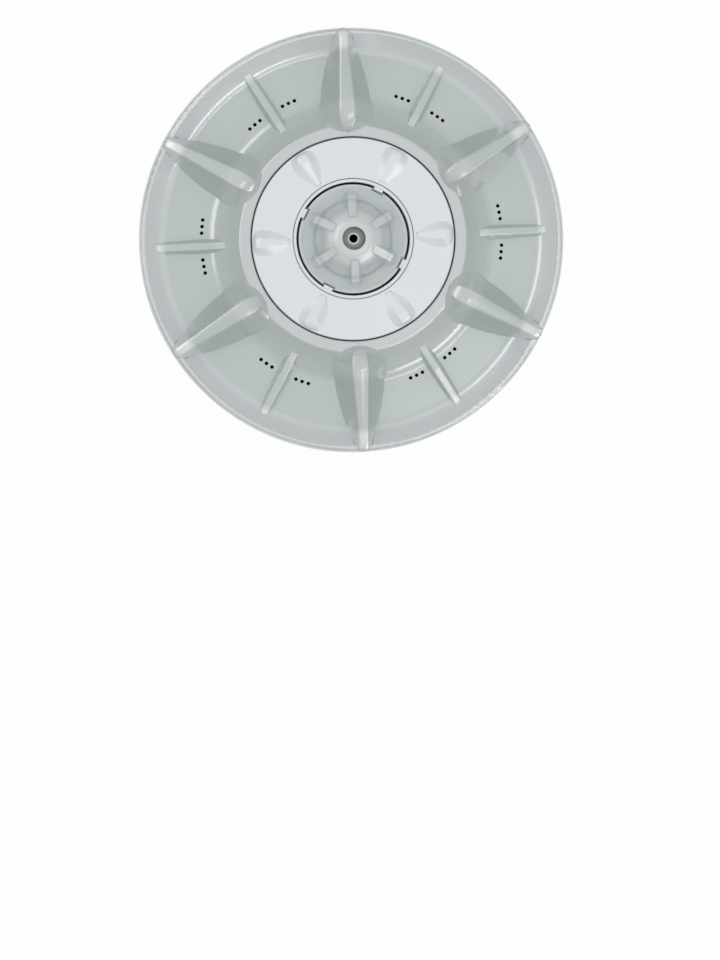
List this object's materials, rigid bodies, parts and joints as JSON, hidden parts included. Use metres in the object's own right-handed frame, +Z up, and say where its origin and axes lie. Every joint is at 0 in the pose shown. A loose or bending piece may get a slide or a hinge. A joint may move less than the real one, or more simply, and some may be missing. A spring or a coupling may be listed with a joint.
{
  "type": "washing machine pulsator",
  "caption": "Dished washing machine pulsator with tall radial fins, a pale ring cover clipped round its ribbed hub and a metal splined insert.",
  "frame": {"origin": "on the drive axis, in the plane of the inner rib edges that the disc rests on", "axes": "+Z up along the drive axis, out of the washing face; +Y along a large fin"},
  "size_m": [0.36, 0.36, 0.044],
  "materials": {
    "disc_plastic": "gloss",
    "cover_plastic": "gloss",
    "insert_metal": "satin"
  },
  "bodies": {
    "root": {"pulsator_disc": "disc_plastic", "ring_cover": "cover_plastic", "spline_insert": "insert_metal"}
  },
  "joints": []
}
